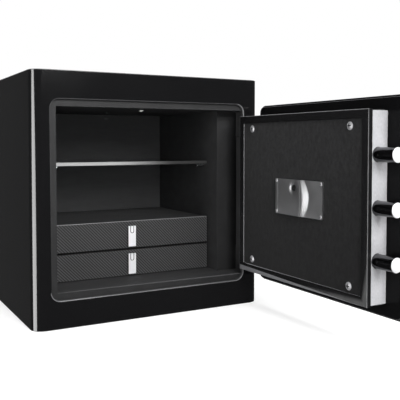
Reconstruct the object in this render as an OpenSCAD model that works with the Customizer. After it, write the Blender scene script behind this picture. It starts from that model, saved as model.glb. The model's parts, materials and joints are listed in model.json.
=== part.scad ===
// Fire safe with an open door, two drawers and a glass shelf.
// All sizes are in millimetres. X runs to the right, Y runs backwards, Z runs up.
// The origin is the middle of the body's underside.
// The rest pose has the door open a quarter turn, the bolts out and the drawers in.

/* [Body] */
// Width of the body
body_w = 410; // [390:1:480]
// Depth of the body from its front face to its back
body_d = 345; // [320:1:420]
// Height of the body
body_h = 400; // [380:1:480]
// Radius of the two upright front edges
edge_r = 20; // [10:0.5:21]
// Thickness of the outer steel sheet
skin_t = 2; // [1.5:0.1:2.2]

/* [Door opening] */
// Left side of the body to the opening
opening_left = 28.5; // [26:0.5:40]
// Right side of the body to the opening
opening_right = 34; // [32:0.5:40]
// Underside of the body to the opening
opening_bottom = 44.2; // [38:0.1:60]
// Top of the body to the opening
opening_top = 44.2; // [38:0.1:60]
// Radius of the opening's corners
opening_r = 15; // [10:0.5:20]
// Depth of the rebate that the door panel lies in
rebate_d = 6.5; // [6:0.1:8]
// Width of the ledge round the rebate
ledge_w = 10.8; // [8:0.1:14]
// Thickness of the frame and liner sheet
liner_t = 2; // [1.2:0.1:2.2]

/* [Cavity] */
// Left side of the body to the cavity
cavity_left = 50; // [46:1:62]
// Right side of the body to the cavity
cavity_right = 62; // [58:1:70]
// Thickness of the insulated back wall
back_wall = 59; // [50:1:70]
// Height of the glass shelf above the cavity floor
shelf_up = 194.5; // [150:0.5:230]
// Thickness of the glass shelf
shelf_t = 6; // [4:0.5:10]

/* [Hinge] */
// Right side of the body to the hinge axis
pivot_in = 13; // [12.5:0.1:15]
// Front face to the hinge axis
pivot_back = 10; // [9.6:0.1:12]
// Ends of the inner door to the ends of the hinge arm
arm_in = 36; // [29:1:60]
// Radius of the hinge pin
pin_r = 3; // [2.5:0.1:3.5]
// Angle of the door in the drawing, 0 is closed
door_angle = 90; // [15:5:105]

/* [Door] */
// Gap between the door panel and the opening
panel_gap = 2.4; // [1.5:0.1:3]
// Thickness of the outer door skin
door_skin_t = 2.5; // [2:0.1:3]
// Gap between the inner door and the throat, above and below
inner_gap = 10.5; // [6:0.5:16]
// Gap between the inner door and the throat on the lock side
lock_gap = 25.2; // [20:0.2:30]
// Width of the border round the felt
border_w = 13; // [10:0.5:20]

/* [Bolts] */
// Radius of each bolt
bolt_r = 10.3; // [8:0.1:10.8]
// Distance between neighbouring bolts
bolt_pitch = 72.5; // [55:0.5:80]
// How far a thrown bolt stands out of the door
bolt_reach = 37; // [30:0.5:42]
// How far the bolts are drawn in by a quarter turn of the knob
bolt_travel = 18; // [14:0.5:20]

/* [Drawers] */
// Front of the cavity to the drawer fronts
drawer_in = 32; // [20:1:50]
// Height of one drawer bay
bay_h = 48; // [40:0.5:60]
// Thickness of a drawer front
drawer_front_t = 4; // [3:0.5:6]
// How far the drawers are pulled out in the drawing
drawers_out = 0; // [0:5:150]

/* [Keypad] */
// Width of the keypad housing
keypad_w = 76; // [70:1:90]
// Distance between neighbouring keys
key_pitch = 20; // [17:0.5:22]

/* [Hidden] */
$fn = 96;

// Small gap between the fill and the steel round it
fill_gap = 0.3;
// Extra length that makes a cut run clear of a face
cut = 1;
// Radial clearance of a shaft that turns or slides in its bore
running = 0.08;
// Radial clearance of a fixed screw or pin in its hole
screw_fit = 0.05;

// Places measured from the left side, the front face and the underside of the body
function from_left(d) = d - body_w / 2;
function from_front(d) = d - body_d / 2;

// Ranges: a start and an end on one axis
function grow(range, by) = [range[0] - by, range[1] + by];
function about(middle, half) = [middle - half, middle + half];
function middle_of(range) = (range[0] + range[1]) / 2;

// The opening, and the hinge axis behind its right side
opening_x = [opening_left, body_w - opening_right];
opening_z = [opening_bottom, body_h - opening_top];
middle_x = middle_of(opening_x);
middle_z = middle_of(opening_z);
pivot_x = body_w - pivot_in;

// Distance from the hinge axis to the opening's edge, which swings past the door
swing_r = norm([pivot_x - opening_x[1], pivot_back]);

// Hinge arm: its leaf stays clear of the opening's edge while the door stands open
knuckle_r = 5;
neck_w = 5;
leaf_t = 3.4;
leaf_clear = 3;
leaf_front = pivot_back + pivot_x - opening_x[1] + leaf_clear;

// Depths in the door, from its outer face to its inner face
cover_d = 7;
recess_d = 2.3;
felt_t = 1;
inner_face = leaf_front + cover_d;
recess_y = inner_face - recess_d;
web_y = leaf_front + leaf_t;
panel_t = rebate_d - 0.5;
pan_t = 1.5;
bolt_back = leaf_front - 1.3 - bolt_r;
board_y = bolt_back - bolt_r - 0.6;

// Throat behind the opening, and the cavity behind the throat
throat_d = inner_face + 3;
throat_x = [opening_x[0] + ledge_w, pivot_x - knuckle_r - 4];
throat_z = grow(opening_z, -ledge_w);
cavity_x = [cavity_left, body_w - cavity_right];
cavity_y = [throat_d + liner_t, body_d - back_wall];
floor_z = throat_z[0];
ceiling_z = throat_z[1];

// Outline of the closed door
panel_x = [opening_x[0] + panel_gap, pivot_x - swing_r - 0.15];
panel_z = grow(opening_z, -panel_gap);
pan_in = 3.1;
pan_x = [throat_x[0] + lock_gap, panel_x[1] - pan_in];
lock_lip = 1.8;
hinge_lip = 12.2;
cover_x = [pan_x[0] - lock_lip, pan_x[1] + hinge_lip];
cover_z = grow(throat_z, -inner_gap);
pan_z = grow(cover_z, -2);
recess_x = grow(cover_x, -border_w);
recess_z = grow(cover_z, -border_w);
arm_z = grow(cover_z, -arm_in);

// Hinge pocket behind the right side of the throat
pocket_gap = 1.5;
pocket_front = pivot_back + 4;
pocket_x = [throat_x[1], pivot_x + neck_w + 2];
pocket_z = grow(arm_z, pocket_gap);

// Bolt work
bolt_heights = [for (i = [-1:1]) middle_z + i * bolt_pitch];
bolt_tip_x = pan_x[0] - 1 - bolt_reach;
hole_gap = 0.4;
bush_l = 10;
bush_wall = 3;
carriage_in = 31.5;
carriage_w = 10;
carriage_end = 14;
carriage_x = [pan_x[0] + carriage_in, pan_x[0] + carriage_in + carriage_w];
carriage_y = [bolt_back - 6.4, bolt_back + 8.6];
rack_y = [bolt_back - 8.4, bolt_back - 0.4];
knob_down = 75;
rack_up = 25;
knob_x = middle_x;
knob_z = middle_z - knob_down;
rack_top = knob_z + rack_up;
shaft_r = 6;

// Rack and shaft teeth: a quarter turn moves the rack by the bolts' travel
pitch_r = bolt_travel / (PI / 2);
pinion_teeth = 12;
tooth_pitch = 2 * PI * pitch_r / pinion_teeth;
tooth_module = 2 * pitch_r / pinion_teeth;
tooth_above = 0.62 * tooth_module;
tooth_below = 0.95 * tooth_module;
tooth_play = 0.25;
pressure_angle = 20;

// Solenoid that locks the rack, below the battery box and clear of the drawn-in carriage
solenoid_w = 22;
solenoid_h = 18;
solenoid_d = 18.5;
solenoid_up = 8;
solenoid_gap = 4;
solenoid_start = carriage_x[1] + bolt_travel + solenoid_gap;
solenoid_x = [solenoid_start, solenoid_start + solenoid_w];
solenoid_z = [rack_top + solenoid_up, rack_top + solenoid_up + solenoid_h];
plunger_x = middle_of(solenoid_x);
plunger_y = middle_of(rack_y);
plunger_r = 3;
plunger_gap = 1.5;

// Service plate on the inner side of the door
plate_w = 117;
plate_shift = 12.25;
plate_down = 25;
plate_up = 31;
plate_x = about(middle_x + plate_shift, plate_w / 2);
plate_z = [middle_z - plate_down, middle_z + plate_up];
plate_t = 2.3;
plate_y = recess_y + felt_t;
plate_face = plate_y + plate_t;

// Reset button behind the service plate
button_in = [68, 13];
button_x = plate_x[0] + button_in[0];
button_z = plate_z[1] - button_in[1];
button_r = 5;
button_d = 9.9;

// Screws
screw_r = 2.5;
small_screw_r = 1.5;
cover_screw_in = [25, 9.5];
cover_screw_l = 14;
post_r = 5;
hinge_block_w = 22;

// Drawers
case_x = grow(cavity_x, -2);
case_t = 1.5;
drawer_back = cavity_y[0] + drawer_in;
case_y = [drawer_back + drawer_front_t, cavity_y[1] - 2];
rail_w = 8;
tray_gap = 0.6;
tray_t = 1.5;
tray_h = bay_h - 7;
tray_floor = 9;
tray_x = grow(case_x, -case_t - tray_gap);
tray_y = [case_y[0], case_y[1] - case_t - 4];

// Keypad on the outer face of the closed door
keypad_h = 114;
keypad_up = 92;
keypad_z = [middle_z + keypad_up - keypad_h, middle_z + keypad_up];
keypad_t = 12;
key_size = [14.5, 13, 5.5];
key_gap = 0.5;
key_stand = 2.2;
key_pocket_d = 5.5;
key_rows_down = 38;
window_size = [48, 10];
window_x = about(middle_x, window_size[0] / 2);
window_z = [keypad_z[1] - 2 * window_size[1], keypad_z[1] - window_size[1]];
window_d = 2;

// Basic shapes

// A box between two places on each axis
module block(x, y, z) {
    translate([from_left(x[0]), from_front(y[0]), z[0]])
        cube([x[1] - x[0], y[1] - y[0], z[1] - z[0]]);
}

module rounded_rect(w, h, r) {
    translate([r, 0])
        square([w - 2 * r, h]);
    translate([0, r])
        square([w, h - 2 * r]);
    for (x = [r, w - r], y = [r, h - r])
        translate([x, y])
            circle(r);
}

// A box with its corners rounded in the front view
module front_prism(x, y, z, r) {
    translate([from_left(x[0]), from_front(y[1]), z[0]])
        rotate([90, 0, 0])
            linear_extrude(y[1] - y[0])
                rounded_rect(x[1] - x[0], z[1] - z[0], r);
}

// A round bar along X
module bar_x(x, y, z, r) {
    translate([from_left(x[0]), from_front(y), z])
        rotate([0, 90, 0])
            cylinder(h = x[1] - x[0], r = r);
}

// A round bar along Y
module bar_y(x, y, z, r) {
    translate([from_left(x), from_front(y[0]), z])
        rotate([-90, 0, 0])
            cylinder(h = y[1] - y[0], r = r);
}

// A round bar along Z
module bar_z(x, y, z, r) {
    translate([from_left(x), from_front(y), z[0]])
        cylinder(h = z[1] - z[0], r = r);
}

// Moves a part's own Z axis to point backwards, from one place on the front face
module backwards_at(x, z) {
    translate([from_left(x), from_front(0), z])
        rotate([-90, 0, 0])
            children();
}

// The hinge turns everything on the door from its closed place to the drawn angle
module on_door() {
    translate([from_left(pivot_x), from_front(pivot_back), 0])
        rotate([0, 0, door_angle])
            translate([-from_left(pivot_x), -from_front(pivot_back), 0])
                children();
}

// A screw with a domed head and a crossed slot, its head's underside at Z = 0
module domed_screw(head_r, head_h, shank_r, shank_l) {
    slot_w = head_r * 0.25;
    slot_l = head_r * 1.1;
    cap_r = (head_r * head_r + head_h * head_h) / (2 * head_h);
    difference() {
        intersection() {
            translate([0, 0, head_h - cap_r])
                sphere(cap_r);
            cylinder(h = head_h, r = head_r);
        }
        for (turn = [0, 90])
            rotate([0, 0, turn])
                translate([-slot_l / 2, -slot_w / 2, head_h * 0.45])
                    cube([slot_l, slot_w, head_h]);
    }
    translate([0, 0, -shank_l])
        cylinder(h = shank_l, r = shank_r);
}

// Body

// Top view of the body, with its two front edges rounded
module body_plan(inset) {
    half_w = body_w / 2 - inset;
    half_d = body_d / 2 - inset;
    corner = edge_r - inset;
    translate([-half_w, -half_d + corner])
        square([2 * half_w, 2 * half_d - corner]);
    translate([-half_w + corner, -half_d])
        square([2 * (half_w - corner), 2 * half_d]);
    for (side = [-1, 1])
        translate([side * (half_w - corner), -half_d + corner])
            circle(corner);
}

anchor_side = 67;
anchor_front = 84;
anchor_rear = 46;
anchor_x = grow(cavity_x, -anchor_side);
anchor_y = [cavity_y[0] + anchor_front, cavity_y[1] - anchor_rear];
anchor_bore_r = 6;
anchor_tube_r = 9;
anchor_fit = 0.1;

module at_anchors() {
    for (x = anchor_x, y = anchor_y)
        translate([from_left(x), from_front(y), 0])
            children();
}

module outer_shell() {
    color("black")
        difference() {
            linear_extrude(body_h)
                body_plan(0);
            translate([0, 0, skin_t])
                linear_extrude(body_h - 2 * skin_t)
                    body_plan(skin_t);
            block([skin_t, body_w - skin_t], [body_d / 2, body_d + cut], [skin_t, body_h - skin_t]);
            front_prism(opening_x, [-cut, skin_t + cut], opening_z, opening_r);
            at_anchors()
                translate([0, 0, -cut])
                    cylinder(h = skin_t + 2 * cut, r = anchor_tube_r + anchor_fit);
        }
}

module back_panel() {
    color("black")
        block([skin_t, body_w - skin_t], [body_d - skin_t, body_d], [skin_t, body_h - skin_t]);
}

// Outer form of the frame: rebate sleeve, throat box and hinge pocket
module frame_form(extra) {
    t = liner_t + extra;
    back = throat_d + t;
    front_prism(grow(opening_x, t), [skin_t, rebate_d + t], grow(opening_z, t), opening_r + t);
    block(grow(throat_x, t), [rebate_d - extra, back], grow(throat_z, t));
    block([throat_x[1], pocket_x[1] + t], [pocket_front, back], grow(pocket_z, t));
}

// Space inside the frame
module frame_space() {
    behind_lip = rebate_d + liner_t;
    front_prism(opening_x, [skin_t - cut, rebate_d], opening_z, opening_r);
    block([throat_x[0], opening_x[1]], [rebate_d - cut, throat_d], throat_z);
    block([opening_x[1] - cut, throat_x[1]], [behind_lip, throat_d], throat_z);
    block(cavity_x, [throat_d - cut, throat_d + liner_t + cut], throat_z);
    block([opening_x[1] - cut, pocket_x[1]], [skin_t - cut, throat_d], pocket_z);
}

socket_r = bolt_r + 1.7;
socket_t = 1.5;
socket_x = [bolt_tip_x - 1 - socket_t, throat_x[0] - liner_t];

module front_frame() {
    color("dimgray")
        difference() {
            frame_form(0);
            frame_space();
            for (z = bolt_heights)
                bar_x([socket_x[1] - cut, throat_x[0] + cut], bolt_back, z, socket_r);
        }
}

bracket_h = 14;
bracket_d = 15;

module insulation_fill() {
    g = fill_gap;
    color("lightgray")
        difference() {
            translate([0, 0, skin_t + g])
                linear_extrude(body_h - 2 * (skin_t + g))
                    body_plan(skin_t + g);
            frame_form(g);
            frame_space();
            block(grow(cavity_x, liner_t + g), [throat_d, cavity_y[1] + liner_t + g],
                grow(throat_z, liner_t + g));
            block([throat_x[1], body_w], [0, pivot_back + bracket_d + g],
                grow(pocket_z, bracket_h + g));
            for (z = bolt_heights)
                bar_x([socket_x[0] - g, throat_x[0]], bolt_back, z, socket_r + socket_t + g);
            at_anchors()
                cylinder(h = floor_z, r = anchor_tube_r + g);
        }
}

module cavity_liner() {
    color("dimgray")
        difference() {
            block(grow(cavity_x, liner_t), [cavity_y[0], cavity_y[1] + liner_t], grow(throat_z, liner_t));
            block(cavity_x, [cavity_y[0] - cut, cavity_y[1]], throat_z);
            at_anchors()
                translate([0, 0, floor_z - liner_t - cut])
                    cylinder(h = liner_t + 2 * cut, r = anchor_tube_r + anchor_fit);
        }
}

module bolt_sockets() {
    color("silver")
        for (z = bolt_heights)
            difference() {
                bar_x(socket_x, bolt_back, z, socket_r + socket_t);
                bar_x([socket_x[0] + socket_t, socket_x[1] + cut], bolt_back, z, socket_r);
            }
}

// Two blocks on the throat wall that hold the ends of the hinge pin
module hinge_brackets() {
    arm_gap = 0.5;
    wall_x = throat_x[1] + liner_t;
    color("dimgray")
        for (z = [arm_z[0] - arm_gap - bracket_h, arm_z[1] + arm_gap])
            difference() {
                union() {
                    block([wall_x, pivot_x], [pivot_back - knuckle_r, pivot_back + bracket_d],
                        [z, z + bracket_h]);
                    bar_z(pivot_x, pivot_back, [z, z + bracket_h], knuckle_r);
                }
                bar_z(pivot_x, pivot_back, [z - cut, z + bracket_h + cut], pin_r + screw_fit);
                block([wall_x - cut, body_w], [pocket_front, throat_d], grow(pocket_z, liner_t));
            }
}

module hinge_pin() {
    color("silver")
        bar_z(pivot_x, pivot_back, grow(arm_z, bracket_h), pin_r);
}

module anchor_tubes() {
    color("silver")
        at_anchors()
            difference() {
                cylinder(h = floor_z, r = anchor_tube_r);
                translate([0, 0, -cut])
                    cylinder(h = floor_z + 2 * cut, r = anchor_bore_r);
            }
}

lamp_y = cavity_y[0] + 7;
lamp_r = 5;
lamp_base_h = 1;

module lamp_base() {
    color("silver")
        bar_z(middle_x, lamp_y, [ceiling_z - lamp_base_h, ceiling_z], lamp_r);
}

// A shallow dome hanging from the lamp's base
module lamp_lens() {
    dome_r = 4;
    dome_h = 2.8;
    color("ivory")
        translate([from_left(middle_x), from_front(lamp_y), ceiling_z - lamp_base_h])
            difference() {
                translate([0, 0, dome_r - dome_h])
                    sphere(dome_r);
                cylinder(h = 2 * dome_r, r = 2 * dome_r);
            }
}

shelf_in = 34;
shelf_gap = 1;
shelf_z = floor_z + shelf_up;
shelf_y = [cavity_y[0] + shelf_in, cavity_y[1] - shelf_gap];
peg_r = 3;
peg_l = 16;
peg_in = 14;

module shelf_pegs() {
    color("silver")
        for (y = grow(shelf_y, -peg_in)) {
            bar_x([cavity_x[0], cavity_x[0] + peg_l], y, shelf_z - peg_r, peg_r);
            bar_x([cavity_x[1] - peg_l, cavity_x[1]], y, shelf_z - peg_r, peg_r);
        }
}

module glass_shelf() {
    color("lightcyan")
        block(grow(cavity_x, -shelf_gap), shelf_y, [shelf_z, shelf_z + shelf_t]);
}

// Drawers

// An open-bottomed box with two pairs of rails
module drawer_case() {
    top_z = floor_z + 2 * bay_h;
    inner_x = grow(case_x, -case_t);
    inner_back = case_y[1] - case_t;
    color("dimgray") {
        difference() {
            block(case_x, case_y, [floor_z, top_z]);
            block(inner_x, [case_y[0] - cut, inner_back], [floor_z - cut, top_z - case_t]);
        }
        for (z = [floor_z, floor_z + bay_h]) {
            block([inner_x[0], inner_x[0] + rail_w], [case_y[0], inner_back], [z, z + case_t]);
            block([inner_x[1] - rail_w, inner_x[1]], [case_y[0], inner_back], [z, z + case_t]);
        }
    }
}

// Pulls a drawer's pieces out by the drawn distance
module slid_out() {
    translate([0, -drawers_out, 0])
        children();
}

// A tray that runs on the lower edges of its sides
module tray(bay_z) {
    z = [bay_z + case_t, bay_z + case_t + tray_h];
    inner_x = grow(tray_x, -tray_t);
    slid_out()
        color("dimgray")
            difference() {
                block(tray_x, tray_y, z);
                block(inner_x, grow(tray_y, -tray_t), [z[0] + tray_floor + tray_t, z[1] + cut]);
                block(inner_x, grow(tray_y, cut), [z[0] - cut, z[0] + tray_floor]);
            }
}

module tray_felt(bay_z) {
    z = bay_z + case_t + tray_floor + tray_t;
    inset = tray_t + fill_gap;
    slid_out()
        color("black")
            block(grow(tray_x, -inset), grow(tray_y, -inset), [z, z + felt_t]);
}

module drawer_front(bay_z, top_z) {
    slid_out()
        color("darkslategray")
            block(case_x, [drawer_back, drawer_back + drawer_front_t], [bay_z + 0.5, top_z]);
}

// An upright plate on a post, with a groove in the shape of a U near its top
module pull(bay_z) {
    pull_w = 14;
    pull_t = 2.5;
    groove_d = 0.8;
    groove_w = 1;
    groove_r = 3.5;
    shift = 6;
    x = middle_of(case_x) - shift;
    z = [bay_z + 4.4, bay_z + bay_h - 8];
    front = drawer_back - 5.5;
    groove_z = z[1] - 9;
    slid_out()
        color("silver") {
            difference() {
                block(about(x, pull_w / 2), [front, front + pull_t], z);
                difference() {
                    groove_form(x, groove_z, z[1], front, groove_d, groove_r);
                    groove_form(x, groove_z, z[1], front, groove_d + cut, groove_r - groove_w);
                }
            }
            block(about(x, 4), [front + pull_t, drawer_back], grow(z, -3));
        }
}

// The form inside a U: half a disc with a strip above it
module groove_form(x, low, high, front, depth, r) {
    y = [front - cut, front + depth];
    bar_y(x, y, low, r);
    block(about(x, r), y, [low, high + cut]);
}

lower_bay_z = floor_z;
upper_bay_z = floor_z + bay_h;

module upper_drawer_tray() { tray(upper_bay_z); }
module upper_drawer_front() { drawer_front(upper_bay_z, upper_bay_z + bay_h + 1); }
module upper_drawer_pull() { pull(upper_bay_z); }
module upper_drawer_felt() { tray_felt(upper_bay_z); }
module lower_drawer_tray() { tray(lower_bay_z); }
module lower_drawer_front() { drawer_front(lower_bay_z, upper_bay_z - 1); }
module lower_drawer_pull() { pull(lower_bay_z); }
module lower_drawer_felt() { tray_felt(lower_bay_z); }

// Door panel and inner door

panel_r = opening_r - panel_gap;
plate_inset = 2.5;

// Hole for the pinion shaft through everything in front of the bolt work
module shaft_hole(r) {
    bar_y(knob_x, [-cut, board_y + cut], knob_z, r);
}

module door_skin() {
    color("black")
        on_door()
            difference() {
                front_prism(panel_x, [0, door_skin_t], panel_z, panel_r);
                shaft_hole(shaft_r + 0.5);
            }
}

module door_plate() {
    color("dimgray")
        on_door()
            difference() {
                front_prism(grow(panel_x, -plate_inset), [door_skin_t, panel_t],
                    grow(panel_z, -plate_inset), panel_r - plate_inset);
                shaft_hole(shaft_r + running);
            }
}

module at_cover_screws() {
    for (x = grow(recess_x, -cover_screw_in[0]), z = grow(recess_z, -cover_screw_in[1]))
        backwards_at(x, z)
            children();
}

// An open tray with four screw posts and a block that carries the hinge arm
module door_pan() {
    inner_x = grow(pan_x, -pan_t);
    block_d = 9;
    hole_depth = web_y - plate_y + cover_screw_l + 2;
    color("dimgray")
        on_door()
            difference() {
                union() {
                    difference() {
                        block(pan_x, [panel_t, leaf_front], pan_z);
                        block(inner_x, [panel_t + pan_t, leaf_front + cut], grow(pan_z, -pan_t));
                    }
                    block([inner_x[1] - hinge_block_w, inner_x[1]],
                        [leaf_front - block_d, leaf_front], arm_z);
                    at_cover_screws()
                        translate([0, 0, panel_t + pan_t])
                            cylinder(h = web_y - panel_t - pan_t, r = post_r);
                }
                at_cover_screws()
                    translate([0, 0, web_y - hole_depth])
                        cylinder(h = hole_depth + cut, r = screw_r + screw_fit);
                at_hinge_screws()
                    translate([0, 0, leaf_front - block_d - cut])
                        cylinder(h = block_d + 2 * cut, r = screw_r + screw_fit);
                shaft_hole(shaft_r + 0.5);
                for (z = bolt_heights)
                    bar_x([pan_x[0] - cut, inner_x[0] + cut], bolt_back, z, bolt_r + hole_gap);
            }
}

module door_insulation() {
    inset = -pan_t - fill_gap;
    color("lightgray")
        on_door()
            difference() {
                block(grow(pan_x, inset), [panel_t + pan_t, board_y], grow(pan_z, inset));
                shaft_hole(shaft_r + 2);
                at_cover_screws()
                    cylinder(h = board_y + cut, r = post_r + fill_gap);
            }
}

// Strips above and below the inner door that swell in a fire
module door_seals() {
    seal_t = 1.5;
    seal_in = 4;
    seal_w = 12;
    seal_y = [panel_t + seal_in, panel_t + seal_in + seal_w];
    color("black")
        on_door() {
            block(pan_x, seal_y, [pan_z[1], pan_z[1] + seal_t]);
            block(pan_x, seal_y, [pan_z[0] - seal_t, pan_z[0]]);
        }
}

module door_cover() {
    color("dimgray")
        on_door()
            difference() {
                block(cover_x, [leaf_front, inner_face], cover_z);
                block(recess_x, [recess_y, inner_face + cut], recess_z);
                block(grow(pan_x, -pan_t), [leaf_front - cut, web_y], grow(pan_z, -pan_t));
                block([pan_x[1] - pan_t - cut, cover_x[1] + cut], [leaf_front - cut, web_y],
                    grow(arm_z, 0.5));
                at_cover_screws()
                    cylinder(h = inner_face, r = screw_r + 0.3);
                at_plate_screws()
                    cylinder(h = inner_face, r = small_screw_r + 0.2);
                service_hole([web_y - cut, recess_y + cut]);
            }
}

// Opening behind the service plate
module service_hole(y) {
    block(grow(plate_x, -5.8), y, grow(plate_z, -2));
}

module cover_felt() {
    color("black")
        on_door()
            difference() {
                block(recess_x, [recess_y, plate_y], recess_z);
                at_cover_screws()
                    cylinder(h = inner_face, r = screw_r + 0.3);
                at_plate_screws()
                    cylinder(h = inner_face, r = small_screw_r + 0.2);
                service_hole([recess_y - cut, plate_y + cut]);
            }
}

module cover_screws() {
    color("silver")
        on_door()
            at_cover_screws()
                translate([0, 0, plate_y])
                    domed_screw(6, 2.2, screw_r, cover_screw_l);
}

edge_plate_t = 1.2;

module lock_edge_plate() {
    color("silver")
        on_door()
            difference() {
                block([pan_x[0] - edge_plate_t, pan_x[0]], [panel_t, leaf_front], pan_z);
                for (z = bolt_heights)
                    bar_x(grow([pan_x[0] - edge_plate_t, pan_x[0]], cut), bolt_back, z,
                        bolt_r + hole_gap);
            }
}

// Guide rings for the bolts, cut flat where they lie on the insulation
module bolt_bushes() {
    bush_x = [pan_x[0] + pan_t, pan_x[0] + pan_t + bush_l];
    bush_r = bolt_r + bush_wall;
    color("goldenrod")
        on_door()
            for (z = bolt_heights)
                difference() {
                    bar_x(bush_x, bolt_back, z, bush_r);
                    block(grow(bush_x, cut), [board_y - 2 * bush_r, board_y], about(z, 2 * bush_r));
                    bar_x(grow(bush_x, cut), bolt_back, z, bolt_r + running);
                }
}

// Hinge

// Swan-neck arm: a knuckle round the pin, a neck going back and a leaf under the door cover
module hinge_arm() {
    bend_r = 3;
    leaf_x = [pan_x[1] - pan_t - hinge_block_w, pivot_x + neck_w - bend_r];
    sink_d = 2;
    color("dimgray")
        on_door()
            difference() {
                union() {
                    bar_z(pivot_x, pivot_back, arm_z, knuckle_r);
                    block([pivot_x, pivot_x + neck_w], [pivot_back, web_y - bend_r], arm_z);
                    block(leaf_x, [leaf_front, web_y], arm_z);
                    bar_z(leaf_x[1], web_y - bend_r, arm_z, bend_r);
                }
                bar_z(pivot_x, pivot_back, grow(arm_z, cut), pin_r + running);
                at_hinge_screws() {
                    translate([0, 0, leaf_front - cut])
                        cylinder(h = leaf_t + 2 * cut, r = screw_r + 0.3);
                    translate([0, 0, web_y - sink_d])
                        cylinder(h = sink_d + cut, r1 = screw_r + 0.3,
                            r2 = screw_r + 0.3 + (sink_d + cut) * sink_slope);
                }
            }
}

sink_slope = 1.25;
hinge_screw_in = 20;

module at_hinge_screws() {
    count = 4;
    x = pan_x[1] - pan_t - hinge_block_w / 2;
    z = grow(arm_z, -hinge_screw_in);
    for (i = [0:count - 1])
        backwards_at(x, z[0] + i * (z[1] - z[0]) / (count - 1))
            children();
}

module hinge_screws() {
    head_h = 2;
    screw_l = 12;
    color("silver")
        on_door()
            at_hinge_screws() {
                translate([0, 0, web_y - screw_l])
                    cylinder(h = screw_l, r = screw_r);
                translate([0, 0, web_y - head_h])
                    cylinder(h = head_h, r1 = screw_r, r2 = screw_r + head_h * sink_slope);
            }
}

// Service plate, battery box and electronics

module at_plate_screws() {
    for (x = grow(plate_x, -3.5), z = grow(plate_z, -3.5))
        backwards_at(x, z)
            children();
}

// Two smooth plates side by side, parted by a fine groove
module service_plate() {
    seam_in = 48;
    seam_w = 0.6;
    seam_d = 0.6;
    seam_x = [plate_x[0] + seam_in, plate_x[0] + seam_in + seam_w];
    color("silver")
        on_door()
            difference() {
                front_prism(plate_x, [plate_y, plate_face], plate_z, 2);
                block(seam_x, [plate_face - seam_d, plate_face + cut], grow(plate_z, cut));
                bar_y(button_x, grow([plate_y, plate_face], cut), button_z, button_r + 0.5);
                at_plate_screws()
                    cylinder(h = plate_face + cut, r = small_screw_r + 0.2);
            }
}

module plate_screws() {
    color("silver")
        on_door()
            at_plate_screws()
                translate([0, 0, plate_face])
                    domed_screw(3, 1.2, small_screw_r, plate_face - web_y + box_flange_t);
}

// Four cells in two rows
battery_r = 7.25;
battery_l = 50.5;
battery_gap = 0.6;
battery_axis_y = web_y - battery_r - 1.1;
box_wall = 1;
box_flange_t = 1.5;
cells_x = about(middle_of(plate_x), battery_l + 1.5 * battery_gap);
cells_z = [plate_z[0] + 3.3, plate_z[0] + 3.3 + 4 * battery_r + 3 * battery_gap];
cells_front = battery_axis_y - battery_r - 0.2;
cup_y = [web_y - 11.4, web_y];
cup_r = button_r + 3;

// Tray for the cells on a flange under the door cover, with a cup for the reset button
module battery_box() {
    color("dimgray")
        on_door()
            difference() {
                union() {
                    block(plate_x, [web_y - box_flange_t, web_y], plate_z);
                    block(grow(cells_x, box_wall), [cells_front - box_wall, web_y],
                        grow(cells_z, box_wall));
                    bar_y(button_x, cup_y, button_z, cup_r);
                }
                block(cells_x, [cells_front, web_y + cut], cells_z);
                bar_y(button_x, [cup_y[0] + 3, cup_y[1] + cut], button_z, button_r + running);
                at_plate_screws()
                    cylinder(h = inner_face, r = small_screw_r + screw_fit);
            }
}

module batteries() {
    cap_r = 2.7;
    cap_l = 1;
    rows_z = grow(cells_z, -battery_gap - battery_r);
    color("gold")
        on_door()
            for (z = rows_z, i = [0, 1]) {
                start = cells_x[0] + battery_gap + i * (battery_l + battery_gap);
                end = start + battery_l;
                bar_x([start, end - cap_l], battery_axis_y, z, battery_r);
                bar_x([end - cap_l, end], battery_axis_y, z, cap_r);
            }
}

board_size = [96, 1.6, 60];
board_up = 70;
// Two chips and a connector: place across and up from the board's middle, width, depth, height
board_parts = [
    [-26, 0, 16, 2, 16],
    [4, -5, 8, 1.5, 20],
    [32, -21, 20, 6, 6]
];

// Circuit board lying on the door's insulation
module control_board() {
    x = middle_of(plate_x);
    z = middle_z + board_up;
    top = board_y + board_size[1];
    color("darkgreen")
        on_door() {
            block(about(x, board_size[0] / 2), [board_y, top], about(z, board_size[2] / 2));
            for (p = board_parts)
                block(about(x + p[0], p[2] / 2), [top, top + p[3]], about(z + p[1], p[4] / 2));
        }
}

module lock_solenoid() {
    color("silver")
        on_door()
            difference() {
                block(solenoid_x, [board_y, board_y + solenoid_d], solenoid_z);
                bar_z(plunger_x, plunger_y, [solenoid_z[0] - cut, solenoid_z[1] - 4],
                    plunger_r + running);
            }
}

module solenoid_plunger() {
    color("silver")
        on_door()
            bar_z(plunger_x, plunger_y, [rack_top + plunger_gap, solenoid_z[1] - 6], plunger_r);
}

// Bolt work

// Front view of the rack: a bar with straight teeth on its lower edge
module rack_outline() {
    slope = tan(pressure_angle);
    half = tooth_pitch / 4 - tooth_play / 2;
    root = tooth_below + 0.5;
    teeth_in_travel = round(bolt_travel / tooth_pitch);
    pitch_z = knob_z + pitch_r;
    start_x = carriage_x[1] - cut;
    end_x = knob_x + 1.5 * tooth_pitch;
    translate([start_x, pitch_z + tooth_below])
        square([end_x - start_x, rack_top - pitch_z - tooth_below]);
    for (i = [-teeth_in_travel - 1:1])
        translate([knob_x + i * tooth_pitch, pitch_z])
            polygon([
                [-half - root * slope, root],
                [-half + tooth_above * slope, -tooth_above],
                [half - tooth_above * slope, -tooth_above],
                [half + root * slope, root]
            ]);
}

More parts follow.
